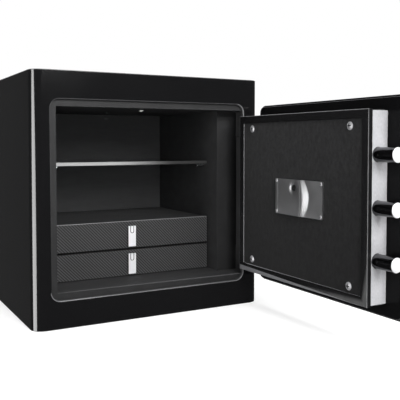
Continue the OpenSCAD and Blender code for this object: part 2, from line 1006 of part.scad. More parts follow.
// Upright bar that holds the three bolts, with the rack that the shaft drives
module bolt_carriage() {
    plunger_hole_d = 6.5;
    color("silver")
        on_door()
            difference() {
                union() {
                    block(carriage_x, carriage_y,
                        grow([bolt_heights[0], bolt_heights[2]], carriage_end));
                    translate([from_left(0), from_front(rack_y[1]), 0])
                        rotate([90, 0, 0])
                            linear_extrude(rack_y[1] - rack_y[0])
                                rack_outline();
                }
                bar_z(plunger_x, plunger_y, [rack_top - plunger_hole_d, rack_top + cut],
                    plunger_r + 0.4);
            }
}

module bolts() {
    bevel = 1;
    color("silver")
        on_door()
            for (z = bolt_heights) {
                bar_x([bolt_tip_x + bevel, carriage_x[0]], bolt_back, z, bolt_r);
                translate([from_left(bolt_tip_x), from_front(bolt_back), z])
                    rotate([0, 90, 0])
                        cylinder(h = bevel, r1 = bolt_r - bevel, r2 = bolt_r);
            }
}

// Knob and its shaft

knob_gap = 0.4;

// Round knob with a flat grip bar across its face
module knob() {
    knob_r = 26;
    knob_h = 24;
    base_h = 5;
    grip_w = 13;
    color("silver")
        on_door()
            translate([from_left(knob_x), from_front(-knob_gap), knob_z])
                rotate([90, 0, 0]) {
                    cylinder(h = base_h, r = knob_r);
                    intersection() {
                        translate([-grip_w / 2, -knob_r, 0])
                            cube([grip_w, 2 * knob_r, knob_h]);
                        cylinder(h = knob_h, r1 = knob_r, r2 = knob_r - 4);
                    }
                }
}

// A point on a tooth's flank: the curve drawn by a taut string unwound from the base circle
function flank(base_r, t) = [
    base_r * (cos(t) + t * PI / 180 * sin(t)),
    base_r * (sin(t) - t * PI / 180 * cos(t))
];

function turned(p, a) = [p[0] * cos(a) - p[1] * sin(a), p[0] * sin(a) + p[1] * cos(a)];

// Unwound angle at which the flank reaches a radius
function flank_angle(base_r, r) = sqrt(r * r / (base_r * base_r) - 1) * 180 / PI;

module pinion_outline() {
    base_r = pitch_r * cos(pressure_angle);
    tip_r = pitch_r + tooth_above;
    steps = 6;
    pitch_point = flank(base_r, flank_angle(base_r, pitch_r));
    half_tooth = 90 / pinion_teeth - tooth_play / 2 / pitch_r * 180 / PI;
    lean = half_tooth + atan2(pitch_point[1], pitch_point[0]);
    side = [for (i = [0:steps]) turned(flank(base_r, flank_angle(base_r, tip_r) * i / steps), -lean)];
    circle(pitch_r - tooth_below);
    for (i = [0:pinion_teeth - 1])
        rotate(i * 360 / pinion_teeth)
            polygon(concat(
                [[0, 0]],
                side,
                [for (i = [steps:-1:0]) [side[i][0], -side[i][1]]]
            ));
}

// A gap between two of the shaft's teeth points up, where a tooth of the rack lies at rest
module pinion_shaft() {
    color("silver")
        on_door() {
            bar_y(knob_x, [-knob_gap, rack_y[0]], knob_z, shaft_r);
            translate([from_left(knob_x), from_front(rack_y[1] + 0.5), knob_z])
                rotate([90, 0, 0])
                    linear_extrude(rack_y[1] - rack_y[0] + 0.5)
                        rotate(90 + 180 / pinion_teeth)
                            pinion_outline();
        }
}

module reset_button() {
    color("darkred")
        on_door()
            bar_y(button_x, [plate_face - 0.6 - button_d, plate_face - 0.6], button_z, button_r);
}

// Keypad

// Middle of a key, by column and row counted from the top left
function key_x(column) = middle_x + (column - 1) * key_pitch;
function key_z(row) = keypad_z[1] - key_rows_down - row * key_pitch;

module keypad_housing() {
    pocket = [key_size[0] / 2 + key_gap, key_size[1] / 2 + key_gap];
    face = -keypad_t - cut;
    color("black")
        on_door()
            difference() {
                front_prism(about(middle_x, keypad_w / 2), [-keypad_t, 0], keypad_z, 6);
                for (column = [0:2], row = [0:3])
                    block(about(key_x(column), pocket[0]), [face, -keypad_t + key_pocket_d],
                        about(key_z(row), pocket[1]));
                block(window_x, [face, -keypad_t + window_d], window_z);
            }
}

module status_window() {
    color("darkred")
        on_door()
            block(window_x, [-keypad_t + 0.2, -keypad_t + window_d], window_z);
}

module key(column, row) {
    front = -keypad_t - key_stand;
    color("silver")
        on_door()
            front_prism(about(key_x(column), key_size[0] / 2), [front, front + key_size[2]],
                about(key_z(row), key_size[1] / 2), 1.5);
}

module key_1() { key(0, 0); }
module key_2() { key(1, 0); }
module key_3() { key(2, 0); }
module key_4() { key(0, 1); }
module key_5() { key(1, 1); }
module key_6() { key(2, 1); }
module key_7() { key(0, 2); }
module key_8() { key(1, 2); }
module key_9() { key(2, 2); }
module key_star() { key(0, 3); }
module key_0() { key(1, 3); }
module key_hash() { key(2, 3); }

outer_shell();
back_panel();
front_frame();
insulation_fill();
cavity_liner();
bolt_sockets();
hinge_brackets();
hinge_pin();
anchor_tubes();
lamp_base();
lamp_lens();
shelf_pegs();
glass_shelf();
drawer_case();
upper_drawer_tray();
upper_drawer_front();
upper_drawer_pull();
upper_drawer_felt();
lower_drawer_tray();
lower_drawer_front();
lower_drawer_pull();
lower_drawer_felt();
door_skin();
door_plate();
door_pan();
door_insulation();
door_seals();
door_cover();
cover_felt();
cover_screws();
lock_edge_plate();
bolt_bushes();
hinge_arm();
hinge_screws();
service_plate();
plate_screws();
battery_box();
batteries();
control_board();
lock_solenoid();
keypad_housing();
status_window();
bolt_carriage();
bolts();
knob();
pinion_shaft();
solenoid_plunger();
reset_button();
key_1();
key_2();
key_3();
key_4();
key_5();
key_6();
key_7();
key_8();
key_9();
key_star();
key_0();
key_hash();
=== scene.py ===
import json
import math

import bmesh
import bpy
import numpy as np
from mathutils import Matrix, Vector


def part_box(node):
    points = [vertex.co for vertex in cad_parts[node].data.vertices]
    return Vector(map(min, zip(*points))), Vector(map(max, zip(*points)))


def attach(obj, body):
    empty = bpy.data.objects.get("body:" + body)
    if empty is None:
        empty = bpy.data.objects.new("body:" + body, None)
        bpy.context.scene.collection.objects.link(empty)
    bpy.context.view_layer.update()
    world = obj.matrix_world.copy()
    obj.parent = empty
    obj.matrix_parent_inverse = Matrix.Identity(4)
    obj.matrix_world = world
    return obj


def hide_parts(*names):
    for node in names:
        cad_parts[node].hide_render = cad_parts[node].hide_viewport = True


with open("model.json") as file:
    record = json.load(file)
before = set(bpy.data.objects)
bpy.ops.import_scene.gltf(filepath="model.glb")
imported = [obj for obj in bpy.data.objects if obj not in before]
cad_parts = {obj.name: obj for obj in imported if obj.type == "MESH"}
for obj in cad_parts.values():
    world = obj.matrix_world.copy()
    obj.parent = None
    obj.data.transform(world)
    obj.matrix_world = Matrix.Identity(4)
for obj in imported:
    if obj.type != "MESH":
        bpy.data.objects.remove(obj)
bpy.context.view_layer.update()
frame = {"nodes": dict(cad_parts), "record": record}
nodes = frame["nodes"]
keyNodes = [node for node in nodes if node.startswith("key_")]
bodyOfNode = {node: body for body, held in frame["record"]["behaviour"]["bodies"].items() for node in held}
mm = 0.001
print("frame loaded:", len(nodes), "nodes")


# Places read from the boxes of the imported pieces, in metres

def low(node, axis):
    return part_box(node)[0]["xyz".index(axis)]


def high(node, axis):
    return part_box(node)[1]["xyz".index(axis)]


def middle(node, axis):
    return (low(node, axis) + high(node, axis)) / 2


def span(node, axis):
    return high(node, axis) - low(node, axis)


# Node trees

# a noise lies mostly between these two values, and a mix of several between the nearer two
noiseReach = (0.3, 0.7)
mixReach = (0.40, 0.60)


def addNode(tree, kind, settings=None, inputs=None):
    node = tree.nodes.new(kind)
    for key, value in (settings or {}).items():
        setattr(node, key, value)
    for key, value in (inputs or {}).items():
        if isinstance(value, bpy.types.NodeSocket):
            tree.links.new(value, node.inputs[key])
        else:
            node.inputs[key].default_value = value
    return node


def maths(tree, operation, first, second=None):
    inputs = {0: first} if second is None else {0: first, 1: second}
    return addNode(tree, "ShaderNodeMath", {"operation": operation}, inputs).outputs[0]


def vectorMaths(tree, operation, inputs, output="Vector"):
    return addNode(tree, "ShaderNodeVectorMath", {"operation": operation}, inputs).outputs[output]


def mixed(tree, first, second, share):
    # first * (1 - share) + second * share
    kept = maths(tree, "MULTIPLY", first, 1 - share)
    added = maths(tree, "MULTIPLY", second, share)
    return maths(tree, "ADD", kept, added)


def startMaterial(name, sockets):
    mat = bpy.data.materials.new(name)
    mat.use_nodes = True
    tree = mat.node_tree
    shader = tree.nodes["Principled BSDF"]
    for key, value in sockets.items():
        shader.inputs[key].default_value = (*value, 1.0) if isinstance(value, tuple) else value
    place = addNode(tree, "ShaderNodeTexCoord").outputs["Object"]
    return mat, tree, shader, place


def connect(tree, shader, outputs):
    for key, output in outputs.items():
        tree.links.new(output, shader.inputs[key])


def axes(tree, place):
    return addNode(tree, "ShaderNodeSeparateXYZ", None, {"Vector": place}).outputs


def grey(tree, tone):
    parts = {"Red": tone, "Green": tone, "Blue": tone}
    return addNode(tree, "ShaderNodeCombineColor", None, parts).outputs["Color"]


def noise(tree, place, scale, detail=3.0, rough=0.5):
    return addNode(tree, "ShaderNodeTexNoise", None, {
        "Vector": place, "Scale": scale, "Detail": detail, "Roughness": rough}).outputs["Fac"]


def stretched(tree, place, factors):
    return addNode(tree, "ShaderNodeMapping", None, {"Vector": place, "Scale": factors}).outputs["Vector"]


def remap(tree, value, fromLow, fromHigh, toLow, toHigh, smooth=False):
    kind = "SMOOTHSTEP" if smooth else "LINEAR"
    return addNode(tree, "ShaderNodeMapRange", {"interpolation_type": kind}, {
        "Value": value, "From Min": fromLow, "From Max": fromHigh,
        "To Min": toLow, "To Max": toHigh}).outputs["Result"]


def spread(tree, value, toLow, toHigh):
    return remap(tree, value, *noiseReach, toLow, toHigh)


def tones(tree, value, colour, dark, light):
    # from dark * colour to light * colour over the reach of a noise
    ramp = addNode(tree, "ShaderNodeValToRGB", None, {"Fac": value})
    for element, at, share in zip(ramp.color_ramp.elements, noiseReach, (dark, light)):
        element.position = at
        element.color = (*(min(1.0, c * share) for c in colour), 1.0)
    return ramp.outputs["Color"]


def bump(tree, height, strength, distance):
    return addNode(tree, "ShaderNodeBump", None, {
        "Height": height, "Strength": strength, "Distance": distance}).outputs["Normal"]


# Finishes

finishes = {}


def addFinishes(maker, held):
    for name, settings in held.items():
        finishes[name] = maker(name, **settings)


# painted reflection on the cover's face: a grey band of colour in place of the floor's reflection along the
# foot and up the lock side.
# footHeight runs from the lock side to the hinge side, sideWidth from the foot to sideTop, and below zero
# there is none
coverPaintedReflection = {
    "foot": low("door_cover", "z"), "footHeight": (8 * mm, -4 * mm),
    "lock": low("door_cover", "y"), "hinge": high("door_cover", "y"),
    "sideTop": low("door_cover", "z") + 75 * mm, "sideWidth": (11 * mm, -3 * mm),
    "face": low("door_cover", "x") + 1 * mm, "soft": 3.5 * mm, "tone": 0.055,
}


def paintedReflectionOf(tree, place, paintedReflection):
    parts = axes(tree, place)
    footHeight = remap(tree, parts["Y"], paintedReflection["lock"], paintedReflection["hinge"], *paintedReflection["footHeight"])
    sideWidth = remap(tree, parts["Z"], paintedReflection["foot"], paintedReflection["sideTop"], *paintedReflection["sideWidth"])
    aboveFoot = maths(tree, "SUBTRACT", parts["Z"], paintedReflection["foot"])
    fromLock = maths(tree, "SUBTRACT", parts["Y"], paintedReflection["lock"])
    inside = maths(tree, "MAXIMUM", maths(tree, "SUBTRACT", footHeight, aboveFoot),
                   maths(tree, "SUBTRACT", sideWidth, fromLock))
    # the painted reflection's share of grey: soft at its edges, only on the face, and mottled a little
    paintedReflectionShare = remap(tree, inside, -paintedReflection["soft"], paintedReflection["soft"], 0.0, paintedReflection["tone"], smooth=True)
    onFace = maths(tree, "LESS_THAN", parts["X"], paintedReflection["face"])
    patches = spread(tree, noise(tree, place, scale=45.0, detail=5.0, rough=0.6), 0.75, 1.15)
    return grey(tree, maths(tree, "MULTIPLY", maths(tree, "MULTIPLY", onFace, paintedReflectionShare), patches))


def lacquer(name, colour, rough, gloss=0.5, paintedReflection=None):
    # smooth paint or plastic: faint orange peel, soft smudges in its gloss and a little dust
    mat, tree, shader, place = startMaterial(name, {"Specular IOR Level": gloss})
    dust = noise(tree, place, scale=1400.0, detail=2.0)
    smudge = noise(tree, place, scale=9.0, detail=5.0, rough=0.6)
    peel = noise(tree, place, scale=420.0, detail=2.0)
    paint = tones(tree, dust, colour, dark=0.9, light=1.5)
    # painted reflection: grey added to the paint's colour
    if paintedReflection:
        paint = vectorMaths(tree, "ADD", {0: paint, 1: paintedReflectionOf(tree, place, paintedReflection)})
    connect(tree, shader, {
        "Base Color": paint,
        "Roughness": spread(tree, smudge, rough * 0.8, rough * 1.3),
        "Normal": bump(tree, peel, strength=0.06, distance=0.2 * mm)})
    return mat


addFinishes(lacquer, {
    "blackPaint": {"colour": (0.0040, 0.0040, 0.0043), "rough": 0.10, "gloss": 0.45},
    "panelPaint": {"colour": (0.0032, 0.0032, 0.0034), "rough": 0.14, "gloss": 0.06},
    "framePaint": {"colour": (0.0060, 0.0060, 0.0063), "rough": 0.16, "gloss": 0.38},
    "coverPaint": {"colour": (0.0060, 0.0060, 0.0063), "rough": 0.16, "gloss": 0.38, "paintedReflection": coverPaintedReflection},
    # painted highlights: lighter greys laid on rounded edges of the black paint, in place of the lines of
    # light that lamps draw there
    "rimPaint": {"colour": (0.095, 0.095, 0.098), "rough": 0.20},
    "edgePaint": {"colour": (0.050, 0.050, 0.052), "rough": 0.22},
    "brightEdge": {"colour": (0.26, 0.26, 0.27), "rough": 0.18},
    # painted reflection: a lighter grey on the cover's rounded foot, in place of the floor seen in the
    # black paint
    "footPaint": {"colour": (0.10, 0.10, 0.104), "rough": 0.60},
    "softEdge": {"colour": (0.11, 0.11, 0.114), "rough": 0.25},
    "buttonPlastic": {"colour": (0.012, 0.012, 0.012), "rough": 0.25},
    "markInk": {"colour": (0.008, 0.008, 0.008), "rough": 0.4},
    "boardGreen": {"colour": (0.01, 0.09, 0.035), "rough": 0.3},
    "cellWrap": {"colour": (0.55, 0.36, 0.05), "rough": 0.25},
    "redPlastic": {"colour": (0.22, 0.008, 0.008), "rough": 0.2},
    "lensPlastic": {"colour": (0.55, 0.55, 0.52), "rough": 0.35},
})


def grainedCoat(name, colour, rough, grain, depth, streaks=(1.0, 1.0, 1.0)):
    # powder coat, moulded plastic, rubber or cast fill: fine grains with soft, wide patches of tone
    mat, tree, shader, place = startMaterial(name, {"Specular IOR Level": 0.3})
    patches = noise(tree, stretched(tree, place, streaks), scale=40.0, detail=5.0, rough=0.65)
    grains = noise(tree, place, grain, detail=3.0, rough=0.65)
    connect(tree, shader, {
        "Base Color": tones(tree, mixed(tree, grains, patches, share=0.4), colour, dark=0.6, light=1.45),
        "Roughness": spread(tree, grains, rough * 0.85, min(1.0, rough * 1.15)),
        "Normal": bump(tree, grains, strength=0.5, distance=depth)})
    return mat


addFinishes(grainedCoat, {
    "frameCoat": {"colour": (0.034, 0.034, 0.035), "rough": 0.85, "grain": 1800.0, "depth": 0.2 * mm,
                  "streaks": (0.2, 1.0, 1.0)},
    "armCoat": {"colour": (0.022, 0.022, 0.023), "rough": 0.6, "grain": 1800.0, "depth": 0.2 * mm},
    "ledgeCoat": {"colour": (0.015, 0.015, 0.0155), "rough": 0.5, "grain": 1800.0, "depth": 0.2 * mm},
    "linerCoat": {"colour": (0.032, 0.032, 0.033), "rough": 0.85, "grain": 1500.0, "depth": 0.3 * mm,
                  "streaks": (0.3, 1.0, 1.5)},
    # painted shade: near black laid on the drawer edges beside the gap between the fronts and in the
    # screws' slots, where shade falls
    "gapBlack": {"colour": (0.0025, 0.0025, 0.0025), "rough": 0.8, "grain": 1200.0, "depth": 0.1 * mm},
    "castFill": {"colour": (0.42, 0.41, 0.39), "rough": 0.9, "grain": 300.0, "depth": 0.8 * mm},
    "housingPlastic": {"colour": (0.018, 0.018, 0.019), "rough": 0.45, "grain": 2200.0, "depth": 0.2 * mm},
    "sealRubber": {"colour": (0.015, 0.015, 0.015), "rough": 0.8, "grain": 1200.0, "depth": 0.3 * mm},
})


def felt(name, colour, grain, paintedShadeToFoot=None):
    # short pile: crossed fibres in colour and height, worn patches and a little sheen, and a painted shade
    # that darkens it toward the foot
    mat, tree, shader, place = startMaterial(name, {
        "Roughness": 0.92, "Sheen Weight": 0.12, "Sheen Roughness": 0.45, "Specular IOR Level": 0.15})
    upright = noise(tree, stretched(tree, place, (1.0, 0.5, 1.6)), grain, detail=4.0, rough=0.75)
    level = noise(tree, stretched(tree, place, (1.0, 1.7, 0.5)), grain * 0.8, detail=4.0, rough=0.75)
    fibres = mixed(tree, upright, level, share=0.5)
    worn = noise(tree, stretched(tree, place, (1.0, 1.4, 0.8)), scale=110.0, detail=6.0, rough=0.8)
    pile = remap(tree, mixed(tree, fibres, worn, share=0.55), *mixReach, *noiseReach)
    paint = tones(tree, pile, colour, dark=0.35, light=1.75)
    if paintedShadeToFoot:
        # painted shade: the colour falls toward the felt's foot
        shade = remap(tree, axes(tree, place)["Z"], paintedShadeToFoot["foot"], paintedShadeToFoot["top"], *paintedShadeToFoot["shares"], smooth=True)
        paint = vectorMaths(tree, "SCALE", {0: paint, "Scale": shade})
    connect(tree, shader, {
        "Base Color": paint,
        "Normal": bump(tree, fibres, strength=0.8, distance=0.4 * mm)})
    return mat


feltPaintedShade = {"foot": low("cover_felt", "z"), "top": high("cover_felt", "z"), "shares": (0.5, 1.18)}
addFinishes(felt, {
    "doorFelt": {"colour": (0.0080, 0.0080, 0.0083), "grain": 700.0, "paintedShadeToFoot": feltPaintedShade},
    "drawerFelt": {"colour": (0.02, 0.02, 0.02), "grain": 700.0},
})


def weave(name, colour, thread, lift, sunk):
    # two by two twill: over two threads, under two, one step along in each row. A thread on top stands
    # lift higher than its round, and one below keeps the share sunk of it
    mat, tree, shader, place = startMaterial(name, {
        "Roughness": 0.35, "Coat Weight": 0.3, "Coat Roughness": 0.15})
    parts = axes(tree, place)
    across = maths(tree, "DIVIDE", parts["X"], thread)
    up = maths(tree, "DIVIDE", parts["Z"], thread)
    step = maths(tree, "ADD", maths(tree, "FLOOR", across), maths(tree, "FLOOR", up))
    # steps 0 and 1 of each four lie on top
    over = maths(tree, "LESS_THAN", maths(tree, "FLOORED_MODULO", step, 4.0), 1.5)
    under = maths(tree, "SUBTRACT", 1.0, over)
    roundAcross = maths(tree, "SINE", maths(tree, "MULTIPLY", maths(tree, "FRACT", across), math.pi))
    roundUp = maths(tree, "SINE", maths(tree, "MULTIPLY", maths(tree, "FRACT", up), math.pi))
    height = maths(tree, "ADD", maths(tree, "MULTIPLY", over, maths(tree, "ADD", roundAcross, lift)),
                   maths(tree, "MULTIPLY", under, maths(tree, "MULTIPLY", roundUp, sunk)))
    # the colour follows the threads' height: a painted highlight on the crowns and a painted shade in the
    # hollows, with fine random grain
    tone = mixed(tree, height, noise(tree, place, scale=2600.0, detail=2.0), share=0.15)
    connect(tree, shader, {
        "Base Color": tones(tree, tone, colour, dark=0.05, light=2.1),
        "Normal": bump(tree, height, strength=0.6, distance=0.3 * mm)})
    return mat


addFinishes(weave, {
    "carbonWeave": {"colour": (0.036, 0.036, 0.037), "thread": 1.3 * mm, "lift": 0.3, "sunk": 0.25},
})


def brushed(tree, shader, place, colour, rough, streaks, worn=0.86):
    # fine lines along one way and wiped patches, in tone and gloss; gives back the lines' bump
    lines = noise(tree, stretched(tree, place, streaks), scale=260.0, detail=4.0, rough=0.6)
    value = mixed(tree, lines, noise(tree, place, scale=30.0, detail=4.0), share=0.4)
    connect(tree, shader, {
        "Base Color": tones(tree, value, colour, dark=worn, light=1.0),
        "Roughness": spread(tree, value, rough * 0.75, rough * 1.3)})
    return bump(tree, lines, strength=0.06, distance=0.05 * mm)


def metal(name, colour, rough, metallic=1.0, streaks=(1.0, 1.0, 30.0), worn=0.86):
    mat, tree, shader, place = startMaterial(name, {"Metallic": metallic})
    connect(tree, shader, {"Normal": brushed(tree, shader, place, colour, rough, streaks, worn)})
    return mat


addFinishes(metal, {
    "chrome": {"colour": (0.86, 0.86, 0.88), "rough": 0.10},
    # painted shade: a dark chrome in place of the shade on the pulls' sides and grooves and the dark
    # reflections on the bolts' sides
    "darkChrome": {"colour": (0.07, 0.07, 0.074), "rough": 0.16},
    "satinChrome": {"colour": (0.92, 0.92, 0.94), "rough": 0.45, "metallic": 0.5},
    "stripChrome": {"colour": (0.56, 0.56, 0.58), "rough": 0.40, "metallic": 0.2,
                    "streaks": (6.0, 1.0, 1.0), "worn": 0.5},
    "screwSteel": {"colour": (0.38, 0.38, 0.39), "rough": 0.42, "metallic": 0.5},
    "knobSteel": {"colour": (0.62, 0.62, 0.63), "rough": 0.34, "metallic": 0.5},
    "plainSteel": {"colour": (0.56, 0.56, 0.58), "rough": 0.3},
    "brassBush": {"colour": (0.78, 0.56, 0.24), "rough": 0.25},
})

# the service plate's fold: side is where it starts, bowed toward the lock by bow at mid-height, where it
# is also wider by swell; it falls at slope, after a curve that takes the share round of its width. Points
# past face, away from the door, are lifted, and two seams stand on the plate
plateHinge = high("service_plate", "y")
plateWidth = span("service_plate", "y")
plateFold = {
    "side": plateHinge - 0.55 * plateWidth, "bow": 0.045 * plateWidth,
    "width": 0.08 * plateWidth, "swell": 0.060 * plateWidth, "slope": 0.216, "round": 0.3,
    "face": low("service_plate", "x") + 0.1 * mm,
    "middle": middle("service_plate", "z"), "half": span("service_plate", "z") / 2,
    "foldSeam": 2.6 * mm, "endSeam": plateHinge - 5.5 * mm, "seamWidth": 0.9 * mm, "seamRise": 0.2 * mm,
}
plateBowl = {
    "y": middle("reset_button", "y"), "z": middle("reset_button", "z"),
    "inner": 5.5 * mm, "outer": 11.0 * mm, "depth": 1.2 * mm,
}


def seamedPlate(name, colour, rough, fold):
    # brushed steel with two fine raised seams: one beside the fold and one near the plate's hinge end
    mat, tree, shader, place = startMaterial(name, {"Metallic": 1.0})
    fine = brushed(tree, shader, place, colour, rough, streaks=(30.0, 30.0, 1.0))
    parts = axes(tree, place)
    t = maths(tree, "DIVIDE", maths(tree, "SUBTRACT", parts["Z"], fold["middle"]), fold["half"])
    bowed = maths(tree, "SUBTRACT", 1.0, maths(tree, "MULTIPLY", t, t))
    start = maths(tree, "SUBTRACT", fold["side"], maths(tree, "MULTIPLY", bowed, fold["bow"]))
    height = 0.0
    for line in (maths(tree, "ADD", start, fold["foldSeam"]), fold["endSeam"]):
        off = maths(tree, "ABSOLUTE", maths(tree, "SUBTRACT", parts["Y"], line))
        seam = remap(tree, off, 0.0, fold["seamWidth"], fold["seamRise"], 0.0)
        height = maths(tree, "ADD", height, seam)
    seams = addNode(tree, "ShaderNodeBump", None, {
        "Height": height, "Strength": 1.0, "Distance": 1.0, "Normal": fine})
    connect(tree, shader, {"Normal": seams.outputs["Normal"]})
    return mat


addFinishes(seamedPlate, {
    "plateSteel": {"colour": (0.72, 0.72, 0.73), "rough": 0.34, "fold": plateFold},
})


def clearGlass(name, colour):
    mat, tree, shader, place = startMaterial(name, {
        "Base Color": colour, "Transmission Weight": 1.0, "IOR": 1.5})
    wiped = noise(tree, place, scale=25.0, detail=4.0)
    connect(tree, shader, {"Roughness": spread(tree, wiped, 0.0, 0.05)})
    return mat


def groundEdgePaintedLight(name, left, right, litTone, shadedTone):
    # ground glass edge with painted light: pale at the left as a painted highlight, and a painted shade
    # darker toward the hinge side where the door shades it
    mat, tree, shader, place = startMaterial(name, {"Roughness": 0.4, "Specular IOR Level": 0.2})
    paintedFade = remap(tree, axes(tree, place)["X"], left, right, litTone, shadedTone, smooth=True)
    frost = spread(tree, noise(tree, place, scale=900.0, detail=3.0), 0.85, 1.1)
    connect(tree, shader, {"Base Color": grey(tree, maths(tree, "MULTIPLY", paintedFade, frost))})
    return mat


addFinishes(clearGlass, {"shelfGlass": {"colour": (0.86, 0.95, 0.92)}})
addFinishes(groundEdgePaintedLight, {
    "shelfEdge": {"left": -60 * mm, "right": 80 * mm, "litTone": 0.33, "shadedTone": 0.025},
})
print("finishes made:", len(finishes))


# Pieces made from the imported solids, merged and with their edges rounded

# points within sameSpot are merged. Turns in degrees: faces are joined below flat, edges are rounded
# above fold, and the shading breaks above sharp
shaping = {
    "sameSpot": 0.001 * mm, "samePlane": 0.01 * mm,
    "flat": 0.6, "fold": 40.0, "sharp": 35.0, "sharpWhenEased": 70.0,
    "roundSegments": 4, "roundProfile": 0.5, "easeSegments": 2, "faceWeight": 100,
}


def addPiece(name, mesh):
    piece = bpy.data.objects.new(name, mesh)
    bpy.context.scene.collection.objects.link(piece)
    return piece


def pointsOf(mesh):
    points = np.empty(len(mesh.vertices) * 3)
    mesh.vertices.foreach_get("co", points)
    return points.reshape(-1, 3).T


def movePoints(mesh, x, y, z):
    mesh.vertices.foreach_set("co", np.stack([x, y, z], axis=1).ravel())


def roundedEdges(work, box, slot, axis, level, where, width):
    # rounds the sharp outward edges that lie in the plane axis = level and that where() picks by an
    # edge's middle and its inset, the least distance to the box's sides along that plane
    across = "xyz".index(axis)
    others = [a for a in range(3) if a != across]
    chosen = []
    for edge in work.edges:
        onPlane = all(abs(v.co[across] - level) <= shaping["samePlane"] for v in edge.verts)
        if len(edge.link_faces) != 2 or not onPlane:
            continue
        centre = (edge.verts[0].co + edge.verts[1].co) / 2
        inset = min(min(centre[a] - box[0][a], box[1][a] - centre[a]) for a in others)
        if edge.calc_face_angle_signed(0.0) > math.radians(shaping["fold"]) and where(centre, inset):
            chosen.append(edge)
    bmesh.ops.bevel(work, geom=chosen, offset=width, offset_type="OFFSET", affect="EDGES",
                    segments=shaping["roundSegments"], profile=shaping["roundProfile"],
                    clamp_overlap=False, material=slot)


def cutNet(work, box, cuts):
    # cuts the merged mesh along even planes across Y and Z, so that its face can be bent
    for axis, count in zip((1, 2), cuts):
        way = [float(a == axis) for a in range(3)]
        for at in np.linspace(box[0][axis], box[1][axis], count + 1)[1:-1]:
            bmesh.ops.bisect_plane(work, geom=work.verts[:] + work.edges[:] + work.faces[:],
                                   plane_co=[at * share for share in way], plane_no=way)


def pressPlate(mesh):
    # lifts the plate's face: it rises evenly from the hinge end to the fold, falls to zero over the
    # fold's width, as u^2 / 2r while u < r and u - r / 2 beyond, and dips smoothly about the button
    x, y, z = pointsOf(mesh)
    bowed = 1 - ((z - plateFold["middle"]) / plateFold["half"]) ** 2
    start = plateFold["side"] - plateFold["bow"] * bowed
    width = plateFold["width"] + plateFold["swell"] * bowed
    r = plateFold["round"]
    u = np.clip((start - y) / width, 0, 1)
    fall = np.where(u < r, u * u / (2 * r), u - r / 2)
    rise = np.clip((plateHinge - y) / (plateHinge - start), 0, 1) * (1 - r / 2)
    away = np.hypot(y - plateBowl["y"], z - plateBowl["z"])
    past = np.clip((away - plateBowl["inner"]) / (plateBowl["outer"] - plateBowl["inner"]), 0, 1)
    bowl = plateBowl["depth"] * (1 - past * past * (3 - 2 * past))
    lift = np.maximum(plateFold["slope"] * width * (rise - fall) - bowl, 0)
    movePoints(mesh, x - np.where(x < plateFold["face"], lift, 0), y, z)


def slottedCopy(node, slots):
    mesh = nodes[node].data.copy()
    mesh.name = node + "_look"
    mesh.materials.clear()
    for slot in slots:
        mesh.materials.append(finishes[slot])
    return mesh


def mergeFaces(work, slots, faces):
    # joins the loose triangles into whole faces, and gives those that a test picks their own slot
    bmesh.ops.remove_doubles(work, verts=work.verts, dist=shaping["sameSpot"])
    bmesh.ops.dissolve_limit(work, angle_limit=math.radians(shaping["flat"]),
                             verts=work.verts, edges=work.edges)
    for face in work.faces:
        face.material_index = 0
        face.smooth = True
        for name, picks in faces:
            if picks(face.calc_center_median(), face.normal):
                face.material_index = slots.index(name)


def addShading(piece, ease):
    # a fine bevel on every folded edge where ease is given, and shading that favours the large faces
    sharp = shaping["sharpWhenEased" if ease > 0 else "sharp"]
    piece.data.set_sharp_from_angle(angle=math.radians(sharp))
    if ease > 0:
        bevel = piece.modifiers.new("ease", "BEVEL")
        bevel.width = ease
        bevel.segments = shaping["easeSegments"]
        bevel.limit_method = "ANGLE"
        bevel.angle_limit = math.radians(shaping["fold"])
    even = piece.modifiers.new("evenShading", "WEIGHTED_NORMAL")
    even.keep_sharp = True
    even.weight = shaping["faceWeight"]


def lookOf(node, finish, ease=0.0, rounded=(), faces=(), cuts=None, press=None):
    extras = [item[-1] for item in rounded] + [item[0] for item in faces]
    slots = list(dict.fromkeys([finish] + extras))
    mesh = slottedCopy(node, slots)
    work = bmesh.new()
    work.from_mesh(mesh)
    mergeFaces(work, slots, faces)
    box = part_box(node)
    for axis, level, where, width, name in rounded:
        roundedEdges(work, box, slots.index(name), axis, level, where, width)
    if cuts:
        cutNet(work, box, cuts)
    work.to_mesh(mesh)
    work.free()
    if press:
        press(mesh)
    piece = addPiece(node + "_look", mesh)
    addShading(piece, ease)
    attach(piece, bodyOfNode[node])
    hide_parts(node)


# Looks of the pieces

# ease is the width of a fine bevel all round; rounded lists edges by their plane's axis, its level, which
# of them, width and finish; faces lists faces of another finish. An edge nearer than rim to the sides of
# its piece's box is an outer one
rim = 8 * mm

# the least part of a normal that counts as facing a way, and the most that a slot's wall has of it
facing = {"front": 0.9, "side": 0.3, "tip": 0.5, "slotFloor": 0.999, "slotWall": 0.05}


def outer(p, inset):
    return inset < rim


def inner(p, inset):
    return inset > rim


def facesFront(p, n):
    return n.y < -facing["front"]


def inSlot(p, n):
    # the floor and the walls of a screw's crossed slot
    return n.x < -facing["slotFloor"] or abs(n.x) < facing["slotWall"]


# the door's ledge in the front frame, whose inner edges start ledgeRim from the frame's box, and the
# places past which an edge belongs to one side of the opening
ledge = low("front_frame", "y") + 4.5 * mm
ledgeRim = 4 * mm
opening = {
    "left": -140 * mm, "right": 160 * mm, "foot": 60 * mm, "ledgeFoot": 100 * mm, "ledgeTop": 300 * mm,
}
shellFront = low("outer_shell", "y")

